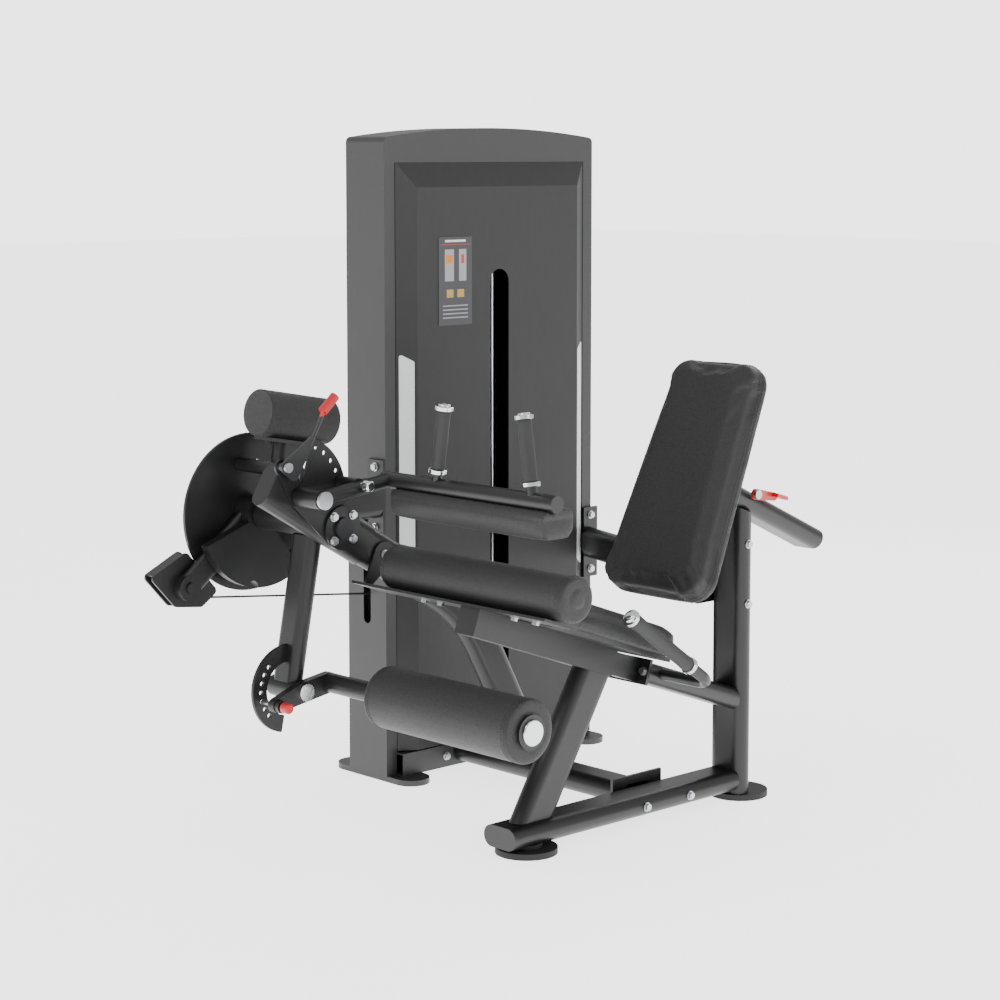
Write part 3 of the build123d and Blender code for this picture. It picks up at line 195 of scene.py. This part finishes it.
def moulded(name, dark, light, rough, grain, depth, coat=0.0):
    finish = Finish(name)
    speck = finish.noise(grain, 3, 0.6)
    cloud = finish.noise(12, 3)
    colour = finish.tint(speck * 0.4 + cloud * 0.6, dark, light)
    return finish.close(colour, rough + (cloud - 0.5) * 0.12, finish.bump(speck, 0.3, depth),
                        **{"Coat Weight": coat, "Coat Roughness": 0.15})


def castPlate():
    finish = Finish("castIron")
    sand = finish.noise(700, 4, 0.7)
    cloud = finish.noise(14, 4)
    colour = finish.tint(cloud, (0.010, 0.010, 0.011), (0.026, 0.026, 0.028))
    return finish.close(colour, 0.5 + (sand - 0.5) * 0.3, finish.bump(sand, 0.5, 0.0005), Metallic=0.2)


def plywood():
    finish = Finish("plywood")
    grain = finish.noise(60, 6, 0.65, (0.15, 1, 1))
    colour = finish.tint(grain, (0.10, 0.055, 0.025), (0.27, 0.16, 0.075))
    return finish.close(colour, 0.6 + (grain - 0.5) * 0.2, finish.bump(grain, 0.3, 0.0004))


def wovenCable():
    # plastic sleeve over laid strands
    finish = Finish("cableSleeve")
    lay = finish.node("ShaderNodeTexWave", {"wave_type": "BANDS", "bands_direction": "DIAGONAL"},
                      {"Vector": finish.place(), "Scale": 150.0, "Distortion": 0.4}, "Fac")
    colour = finish.tint(lay, (0.006, 0.006, 0.007), (0.02, 0.02, 0.021))
    return finish.close(colour, 0.38 + lay * 0.1, finish.bump(lay, 0.3, 0.0003))


def placardPanel():
    # dark card with plain blocks and bars in the places of its pictures
    finish = Finish("placardCard")
    low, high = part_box("placard")
    middle, half = (low + high) / 2, (high - low) / 2
    at = finish.node("ShaderNodeTexCoord", out="Object")
    parts = finish.tree.nodes.new("ShaderNodeSeparateXYZ")
    finish.tree.links.new(at.socket, parts.inputs[0])
    across, upward = Wire(finish, parts.outputs["X"]), Wire(finish, parts.outputs["Z"])

    def block(x, z, wide, high):
        side = (across - (middle.x + x * half.x)).size() < wide * half.x
        return side * ((upward - (middle.z + z * half.z)).size() < high * half.z)

    speck = finish.noise(500, 2)
    colour = finish.tint(speck, (0.030, 0.030, 0.034), (0.045, 0.045, 0.050))
    blocks = [
        ((0, 0.91, 0.62, 0.025), (0.62, 0.62, 0.62)),
        ((0, 0.83, 0.90, 0.008), (0.35, 0.02, 0.03)),
        ((-0.36, 0.36, 0.27, 0.36), (0.30, 0.30, 0.31)),
        ((0.44, 0.36, 0.22, 0.36), (0.30, 0.30, 0.31)),
        ((-0.36, 0.50, 0.22, 0.10), (0.55, 0.20, 0.02)),
        ((0.44, 0.50, 0.09, 0.10), (0.45, 0.03, 0.03)),
        ((-0.32, -0.28, 0.20, 0.09), (0.42, 0.26, 0.06)),
        ((0.32, -0.28, 0.20, 0.09), (0.42, 0.26, 0.06)),
    ]
    blocks += [((0, -0.56 - 0.09 * row, 0.75, 0.014), (0.28, 0.28, 0.29)) for row in range(4)]
    for shape, paint in blocks:
        colour = finish.over(block(*shape), colour, paint)
    return finish.close(colour, 0.42 + (speck - 0.5) * 0.1, finish.bump(speck, 0.1, 0.0002))


def twoPart(name, letter, limit, side, body, tip, metal):
    # one turned piece in two finishes: the tip lies past a limit on the named axis
    finish = Finish(name)
    at = finish.node("ShaderNodeTexCoord", out="Object")
    parts = finish.tree.nodes.new("ShaderNodeSeparateXYZ")
    finish.tree.links.new(at.socket, parts.inputs[0])
    past = (Wire(finish, parts.outputs[letter]) - limit) * side
    mask = past > 0.0
    cloud = finish.noise(30, 3)
    speck = finish.noise(900, 2)
    colour = finish.over(mask, finish.tint(cloud, *body), tip)
    return finish.close(colour, 0.33 + (cloud - 0.5) * 0.1, finish.bump(speck, 0.2, 0.0002),
                        Metallic=(1 - mask) * metal)


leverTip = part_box("start_lever")[1].z - 0.050
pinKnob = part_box("ankle_pin")[0].y + 0.026
redPlastic = (0.50, 0.012, 0.018)
finishes = {
    "startLever": twoPart("leverAndKnob", "Z", leverTip, 1,
                          ((0.010, 0.010, 0.011), (0.020, 0.020, 0.021)), redPlastic, 0.0),
    "anklePin": twoPart("pinAndKnob", "Y", pinKnob, -1, ((0.40, 0.41, 0.43), (0.62, 0.63, 0.65)),
                        redPlastic, 1.0),
    "frame": sprayedSteel("blackPowderCoat",
                          (0.0040, 0.0040, 0.0043), (0.0080, 0.0080, 0.0085), 0.38, 1500, 0.0002),
    "tower": sprayedSteel("charcoalPaint",
                          (0.024, 0.024, 0.0245), (0.032, 0.032, 0.0327), 0.46, 1300, 0.0002),
    "shroud": sprayedSteel("shroudPaint",
                          (0.0085, 0.0085, 0.0088), (0.0140, 0.0140, 0.0144), 0.56, 900, 0.0004),
    "frosted": moulded("frostedSheet", (0.62, 0.63, 0.64), (0.76, 0.77, 0.78), 0.42, 500, 0.0002),
    "placard": placardPanel(),
    "castIron": castPlate(),
    "chrome": brightMetal("chromePlate", (0.62, 0.63, 0.65), (0.80, 0.81, 0.82), 0.14, (1, 1, 0.2)),
    "zinc": brightMetal("zincPlate", (0.40, 0.41, 0.43), (0.62, 0.63, 0.65), 0.30, (1, 0.3, 1)),
    "red": moulded("redKnobPlastic", (0.42, 0.010, 0.014), (0.58, 0.020, 0.024), 0.30, 700, 0.0002, 0.3),
    "rubber": moulded("footRubber", (0.008, 0.008, 0.008), (0.018, 0.018, 0.018), 0.72, 900, 0.0004),
    "grip": moulded("gripRubber", (0.010, 0.010, 0.011), (0.022, 0.022, 0.023), 0.62, 1300, 0.0005),
    "plastic": moulded("capPlastic", (0.008, 0.008, 0.009), (0.016, 0.016, 0.017), 0.42, 1200, 0.0003),
    "vinyl": vinyl("padVinyl", (0.0050, 0.0050, 0.0053), (0.0150, 0.0150, 0.0157)),
    "thread": moulded("seamThread", (0.020, 0.020, 0.021), (0.045, 0.045, 0.047), 0.7, 2500, 0.0002),
    "plywood": plywood(),
    "cable": wovenCable(),
}
print("finishes made", len(finishes))

finishOfSlot = {
    "black_frame": "frame", "grey_tower": "tower", "dark_shroud": "shroud", "frosted_panel": "frosted",
    "placard_panel": "placard", "cast_plate": "castIron", "chrome_parts": "chrome", "zinc_bolts": "zinc",
    "red_plastic": "red", "rubber_parts": "rubber", "grip_rubber": "grip", "cap_plastic": "plastic",
    "black_vinyl": "vinyl", "ply_board": "plywood", "cable_black": "cable",
}


finishOfNode = {
    "start_lever": "startLever", "ankle_pin": "anklePin", "ankle_sector": "frame",
    "seat_board": "plastic",
    "counterweight": "vinyl", "pivot_shaft": "castIron", "thimble": "castIron",
}


def dressCadNodes():
    for part in frame["record"]["subparts"]:
        piece = frame["nodes"][part["node"]]
        paint = finishes[finishOfNode.get(part["node"], finishOfSlot[part["material_slot"]])]
        piece.data.materials.clear()
        piece.data.materials.append(paint)


dressCadNodes()
print("steel work painted")


# mesh helpers

def newPiece(name, mesh, paint, body):
    piece = bpy.data.objects.new(name, mesh)
    scene.collection.objects.link(piece)
    piece.data.materials.clear()
    piece.data.materials.append(paint)
    for face in piece.data.polygons:
        face.use_smooth = True
    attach(piece, body)
    return piece


def lathe(name, profile, start, end, paint, body, sides=48):
    # closed turned shape: profile is (share of the axis, radius), first and last at radius 0 close it
    axis = (end - start).normalized()
    length = (end - start).length
    across = axis.orthogonal().normalized()
    beside = axis.cross(across)
    work = bmesh.new()
    rows = []
    for along, radius in profile:
        middle = start + axis * (along * length)
        turns = [2 * math.pi * k / sides for k in range(sides)]
        rows.append([work.verts.new(middle + (across * math.cos(t) + beside * math.sin(t)) * radius)
                     for t in turns])
    for lower, upper in zip(rows, rows[1:]):
        for k in range(sides):
            work.faces.new((lower[k], lower[(k + 1) % sides], upper[(k + 1) % sides], upper[k]))
    work.faces.new(list(reversed(rows[0])))
    work.faces.new(rows[-1])
    bmesh.ops.recalc_face_normals(work, faces=work.faces)
    mesh = bpy.data.meshes.new(name)
    work.to_mesh(mesh)
    work.free()
    piece = newPiece(name, mesh, paint, body)
    edge = piece.modifiers.new("edges", "EDGE_SPLIT")
    edge.split_angle = math.radians(50)
    return piece


# cushions

def cushionMesh(node, settings):
    # merged copy of the plain solid, remeshed and drawn in a little before it is filled
    mesh = frame["nodes"][node].data.copy()
    work = bmesh.new()
    work.from_mesh(mesh)
    bmesh.ops.remove_doubles(work, verts=work.verts, dist=1e-5)
    work.to_mesh(mesh)
    work.free()
    rough = bpy.data.objects.new(node + "Rough", mesh)
    scene.collection.objects.link(rough)
    remesh = rough.modifiers.new("voxels", "REMESH")
    remesh.mode = "VOXEL"
    remesh.voxel_size = settings["voxel"]
    remesh.use_smooth_shade = True
    held = bpy.data.meshes.new_from_object(rough.evaluated_get(bpy.context.evaluated_depsgraph_get()))
    bpy.data.objects.remove(rough)
    for vertex, normal in zip(held.vertices, [v.normal.copy() for v in held.vertices]):
        if not settings["held"](vertex.co):
            vertex.co -= normal * settings["drawIn"]
    return held


def fillCushion(piece, settings):
    rest = [v.co.copy() for v in piece.data.vertices]
    pinned = [v.index for v in piece.data.vertices if settings["held"](v.co)]
    group = piece.vertex_groups.new(name="held")
    group.add(pinned, 1.0, "REPLACE")
    cloth = piece.modifiers.new("fill", "CLOTH")
    cover = cloth.settings
    cover.use_pressure = True
    cover.uniform_pressure_force = settings["pressure"]
    cover.effector_weights.gravity = 0
    cover.vertex_group_mass = "held"
    cover.quality = 4
    for step in range(1, 21):
        scene.frame_set(step)
    puffed = piece.evaluated_get(bpy.context.evaluated_depsgraph_get())
    moved = [v.co.copy() for v in puffed.data.vertices]
    piece.modifiers.remove(cloth)
    scene.frame_set(1)
    for vertex, before, after in zip(piece.data.vertices, rest, moved):
        step = after - before
        if step.length > settings["cap"]:
            step = step.normalized() * settings["cap"]
        vertex.co = before + step
    piece.vertex_groups.clear()


def makeCushion(name, node, body, settings):
    piece = newPiece(name, cushionMesh(node, settings), finishes["vinyl"], body)
    fillCushion(piece, settings)
    smooth = piece.modifiers.new("smooth", "SMOOTH")
    smooth.factor = 0.5
    smooth.iterations = 2
    soft = piece.modifiers.new("soft", "SUBSURF")
    soft.levels = soft.render_levels = 1
    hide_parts(node)
    print("cushion", name, len(piece.data.vertices))
    return piece


def slabFrame(node, lean):
    # middle of a leaning slab, with its directions up the slab and out of its front
    low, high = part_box(node)
    upwards = Vector((math.sin(lean), 0, math.cos(lean)))
    outwards = Vector((-math.cos(lean), 0, math.sin(lean)))
    return (low + high) / 2, upwards, outwards


seatTilt = math.radians(19.5)
backLean = math.radians(24.7)
backMiddle, backUp, backOut = slabFrame("back_pad", backLean)
seatMiddle = sum(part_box("seat_pad"), Vector()) / 2
seatAlong = Vector((-math.cos(seatTilt), 0, math.sin(seatTilt)))
seatAbove = Vector((math.sin(seatTilt), 0, math.cos(seatTilt)))
bolsterMiddle = sum(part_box("knee_bolster"), Vector()) / 2
rollerMiddle = sum(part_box("ankle_roller"), Vector()) / 2
lapMiddle = sum(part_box("lap_pad"), Vector()) / 2


def aroundAxis(middle, radius):
    # true close to an axis along Y
    return lambda co: math.hypot(co.x - middle.x, co.z - middle.z) < radius


backPad = makeCushion("backPadCover", "back_pad", "backrest", {
    "voxel": 0.006, "drawIn": 0.004, "pressure": 4.0, "cap": 0.012, "fill": 0.75,
    "held": lambda co: (co - backMiddle).dot(backOut) < -0.026})
seatPad = makeCushion("seatPadCover", "seat_pad", "frame", {
    "voxel": 0.006, "drawIn": 0.004, "pressure": 4.0, "cap": 0.008, "fill": 0.75,
    "held": lambda co: (co - seatMiddle).dot(seatAbove) < -0.024})
bolster = makeCushion("kneeBolsterCover", "knee_bolster", "frame", {
    "voxel": 0.005, "drawIn": 0.003, "pressure": 3.0, "cap": 0.003, "fill": 0.85,
    "held": aroundAxis(bolsterMiddle, 0.018)})
roller = makeCushion("ankleRollerCover", "ankle_roller", "roller", {
    "voxel": 0.005, "drawIn": 0.003, "pressure": 3.0, "cap": 0.003, "fill": 0.85,
    "held": aroundAxis(rollerMiddle, 0.034)})
makeCushion("lapPadCover", "lap_pad", "lap", {
    "voxel": 0.005, "drawIn": 0.003, "pressure": 3.0, "cap": 0.005, "fill": 0.8,
    "held": lambda co: co.z > lapMiddle.z + 0.016})


# stitches, by geometry nodes

def stitchTree():
    tree = bpy.data.node_groups.new("stitchRow", "GeometryNodeTree")
    face = tree.interface
    face.new_socket("Geometry", in_out="INPUT", socket_type="NodeSocketGeometry")
    for title, value in (("Spacing", 0.0055), ("Stitch Length", 0.0038), ("Thickness", 0.0006)):
        face.new_socket(title, in_out="INPUT", socket_type="NodeSocketFloat").default_value = value
    face.new_socket("Material", in_out="INPUT", socket_type="NodeSocketMaterial")
    face.new_socket("Geometry", in_out="OUTPUT", socket_type="NodeSocketGeometry")

    def add(kind, settings=None, links=None):
        made = tree.nodes.new(kind)
        for key, value in (settings or {}).items():
            setattr(made, key, value)
        for key, source in (links or {}).items():
            if isinstance(source, bpy.types.NodeSocket):
                tree.links.new(source, made.inputs[key])
            else:
                made.inputs[key].default_value = source
        return made

    given = add("NodeGroupInput").outputs
    curve = add("GeometryNodeMeshToCurve", None, {"Mesh": given["Geometry"]})
    points = add("GeometryNodeResampleCurve", {"mode": "LENGTH"},
                 {"Curve": curve.outputs[0], "Length": given["Spacing"]})
    tangent = add("GeometryNodeInputTangent")
    turn = add("FunctionNodeAlignEulerToVector", {"axis": "Z"}, {"Vector": tangent.outputs[0]})
    thread = add("GeometryNodeMeshCylinder", None, {
        "Vertices": 6, "Radius": given["Thickness"], "Depth": given["Stitch Length"]})
    sewn = add("GeometryNodeInstanceOnPoints", None, {
        "Points": points.outputs[0], "Instance": thread.outputs[0], "Rotation": turn.outputs[0]})
    real = add("GeometryNodeRealizeInstances", None, {"Geometry": sewn.outputs[0]})
    painted = add("GeometryNodeSetMaterial", None, {
        "Geometry": real.outputs[0], "Material": given["Material"]})
    add("NodeGroupOutput", None, {"Geometry": painted.outputs[0]})
    return tree


stitches = stitchTree()


def inputOf(tree, title):
    return next(item.identifier for item in tree.interface.items_tree
                if item.name == title and item.in_out == "INPUT")


def roundedLoop(middle, along, across, halfLong, halfWide, corner, taper=0.0, steps=10):
    # closed rounded rectangle on a plane, narrower by the taper's share at its head
    points = []
    for quarter, (sa, sb) in enumerate(((1, 1), (-1, 1), (-1, -1), (1, -1))):
        for k in range(steps + 1):
            angle = math.pi / 2 * (quarter + k / steps)
            reach = sa * (halfLong - corner) + corner * math.cos(angle)
            side = sb * (halfWide - corner) + corner * math.sin(angle)
            narrow = 1 - taper * (reach + halfLong) / (2 * halfLong)
            points.append(middle + along * reach + across * (side * narrow))
    return points


def circleLoop(middle, radius, steps=72):
    turns = [2 * math.pi * k / steps for k in range(steps)]
    return [middle + Vector((math.cos(turn), 0, math.sin(turn))) * radius for turn in turns]


def sewRows(name, loops, cover, body, lift=0.0003):
    # each loop is laid on the cover first, and the tree sews along it
    graph = bpy.context.evaluated_depsgraph_get()
    surface = BVHTree.FromObject(cover, graph)
    work = bmesh.new()
    for loop in loops:
        dense = []
        for a, b in zip(loop, loop[1:] + loop[:1]):
            pieces = max(1, round((b - a).length / 0.006))
            dense += [a.lerp(b, k / pieces) for k in range(pieces)]
        verts = []
        for point in dense:
            place, normal, _, _ = surface.find_nearest(point)
            verts.append(work.verts.new(place + normal * lift))
        for a, b in zip(verts, verts[1:] + verts[:1]):
            work.edges.new((a, b))
    mesh = bpy.data.meshes.new(name + "Path")
    work.to_mesh(mesh)
    work.free()
    path = bpy.data.objects.new(name + "Path", mesh)
    scene.collection.objects.link(path)
    sew = path.modifiers.new("sew", "NODES")
    sew.node_group = stitches
    sew[inputOf(stitches, "Material")] = finishes["thread"]
    graph = bpy.context.evaluated_depsgraph_get()
    made = bpy.data.meshes.new_from_object(path.evaluated_get(graph))
    path.modifiers.remove(sew)
    bpy.data.objects.remove(path)
    print("seam", name, len(made.vertices))
    return newPiece(name, made, finishes["thread"], body)


yAxis = Vector((0, 1, 0))
sewRows("backPadStitches", [
    roundedLoop(backMiddle + backOut * depth, backUp, yAxis, 0.2925, 0.1675, 0.062, 0.19)
    for depth in (-0.004, -0.014)], backPad, "backrest")
sewRows("seatPadStitches", [
    roundedLoop(seatMiddle + seatAbove * depth, seatAlong, yAxis, 0.209, 0.165, 0.042)
    for depth in (0.004, -0.006)], seatPad, "frame")


def endRings(middle, halfLength, radius):
    return [circleLoop(middle + yAxis * side * (halfLength - inset), radius)
            for side in (-1, 1) for inset in (0.012, 0.019)]


sewRows("kneeBolsterStitches", endRings(bolsterMiddle, 0.290, 0.060), bolster, "frame")
sewRows("ankleRollerStitches", endRings(rollerMiddle, 0.230, 0.080), roller, "roller")


# grips and rings

gripSleeve = [(0, 0.0150), (0.01, 0.0166), (0.04, 0.0172), (0.12, 0.0164), (0.5, 0.0170), (0.88, 0.0164),
              (0.96, 0.0172), (0.99, 0.0166), (1, 0.0150)]
ringTurning = [(0, 0.0180), (0.12, 0.0198), (0.40, 0.0198), (0.46, 0.0188), (0.54, 0.0188),
               (0.60, 0.0198), (0.88, 0.0198), (1, 0.0180)]
capTurning = [(0, 0.0135), (0.5, 0.0132), (0.85, 0.0105), (1, 0.0060)]


def scaled(profile, factor):
    return [(along, radius * factor) for along, radius in profile]


seatHandle = {"low": (-0.128, 0.350), "top": (-0.398, 0.540), "out": 0.202, "gripFrom": 0.100,
              "ring": 0.010}
lapGrip = {"x": -0.643, "low": 0.853, "high": 0.983, "spread": 0.146, "lean": 9.0, "ring": 0.010}
seatMid = seatMiddle.y

for side, word in ((-1, "Near"), (1, "Far")):
    base = Vector((seatHandle["low"][0], seatMid + side * seatHandle["out"], seatHandle["low"][1]))
    run = Vector((seatHandle["top"][0], base.y, seatHandle["top"][1])) - base
    reach, way = run.length, run.normalized()
    ring = seatHandle["ring"]
    grip = lathe("seatGrip" + word, gripSleeve, base + way * seatHandle["gripFrom"],
                 base + way * (reach - ring), finishes["grip"], "frame")
    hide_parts("seat_grips")
    rings = [(seatHandle["gripFrom"] - ring, seatHandle["gripFrom"]), (reach - ring, reach)]
    for number, (a, b) in enumerate(rings):
        piece = lathe(f"seatGripRing{word}{number}", ringTurning, base + way * a, base + way * b,
                      finishes["chrome"], "frame")
        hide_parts("seat_rings")
    lathe("seatGripCap" + word, capTurning, base + way * reach, base + way * (reach + 0.007),
          finishes["chrome"], "frame")

    def lapAt(height, side=side):
        spread = lapGrip["spread"] - (height - lapGrip["low"]) * math.tan(math.radians(lapGrip["lean"]))
        return Vector((lapGrip["x"], seatMid + side * spread, height))

    low, high, ring = lapGrip["low"], lapGrip["high"], lapGrip["ring"]
    grip = lathe("lapGrip" + word, scaled(gripSleeve, 0.92), lapAt(low), lapAt(high),
                 finishes["grip"], "lap")
    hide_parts("lap_grips")
    for number, (a, b) in enumerate(((low - ring, low), (high, high + ring))):
        lathe(f"lapGripRing{word}{number}", ringTurning, lapAt(a), lapAt(b), finishes["chrome"], "lap")
    lathe("lapGripCap" + word, capTurning, lapAt(high + ring), lapAt(high + ring + 0.005),
          finishes["chrome"], "lap")
print("grips turned")


# cable over the stack

stackRise = {"travel": 0.2361, "radius": 0.0025}


def stackStrand():
    # on the machine its foot rises with the stack; here it is one fixed strand from the stack top up to
    # the wheel, hung on the frame
    low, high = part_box("stack_cable")
    middle = (low + high) / 2
    foot, head = Vector((middle.x, middle.y, low.z)), Vector((middle.x, middle.y, high.z))
    rows = [(k / 40, stackRise["radius"]) for k in range(41)]
    strand = lathe("stackStrand", rows, foot, head, finishes["cable"], "frame", 16)
    strand.modifiers.clear()
    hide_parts("stack_cable")
    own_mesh(strand)


stackStrand()
print("stack cable strung")


# studio

studio = {"air": 0.85, "backdrop": 3.3, "floorGlow": 2.3}


def studioFloor():
    mesh = bpy.data.meshes.new("studioFloor")
    mesh.from_pydata([(-30, -30, 0), (30, -30, 0), (30, 30, 0), (-30, 30, 0)], [], [(0, 1, 2, 3)])
    floor = bpy.data.objects.new("studioFloor", mesh)
    scene.collection.objects.link(floor)
    finish = Finish("floorPaint")
    cloud = finish.noise(1.2, 2)
    colour = finish.tint(cloud, (0.80, 0.80, 0.80), (0.83, 0.83, 0.83))
    floor.data.materials.append(finish.close(
        colour, 0.9, finish.bump(cloud, 0.02, 0.001),
        **{"Emission Color": (1, 1, 1, 1), "Emission Strength": studio["floorGlow"]}))


def softBox(name, place, aim, size, watts):
    lamp = bpy.data.lights.new(name, "AREA")
    lamp.shape = "RECTANGLE"
    lamp.size, lamp.size_y = size
    lamp.energy = watts
    holder = bpy.data.objects.new(name, lamp)
    holder.location = place
    holder.rotation_euler = (Vector(aim) - Vector(place)).to_track_quat("-Z", "Y").to_euler()
    scene.collection.objects.link(holder)


studioFloor()
world = bpy.data.worlds.new("studioAir")
world.use_nodes = True
air = world.node_tree
background = air.nodes["Background"]
background.inputs[0].default_value = (1, 1, 1, 1)
seen = air.nodes.new("ShaderNodeLightPath")
level = air.nodes.new("ShaderNodeMapRange")
level.inputs["To Min"].default_value = studio["air"]
level.inputs["To Max"].default_value = studio["backdrop"]
air.links.new(seen.outputs["Is Camera Ray"], level.inputs["Value"])
air.links.new(level.outputs[0], background.inputs[1])
scene.world = world
softBox("keyLight", (-3.2, -1.0, 3.4), (-0.3, -0.4, 0.7), (2.4, 1.6), 50)
softBox("frontLight", (0.6, -4.6, 2.4), (-0.2, -0.4, 0.7), (2.6, 1.8), 30)
softBox("rimLight", (3.2, 0.4, 2.8), (0.0, -0.4, 0.8), (1.4, 2.2), 40)

view = {"focal": 87.16, "shift": -0.10, "place": (-4.149, -4.487, 1.546), "down": 5.9, "turn": -43.4}
lens = bpy.data.cameras.new("viewLens")
lens.lens = view["focal"]
lens.sensor_width = 36
lens.shift_y = view["shift"]
lens.clip_end = 100
camera = bpy.data.objects.new("viewCamera", lens)
camera.location = view["place"]
camera.rotation_euler = (math.radians(90 - view["down"]), 0, math.radians(view["turn"]))
scene.collection.objects.link(camera)
scene.camera = camera
print("studio set")
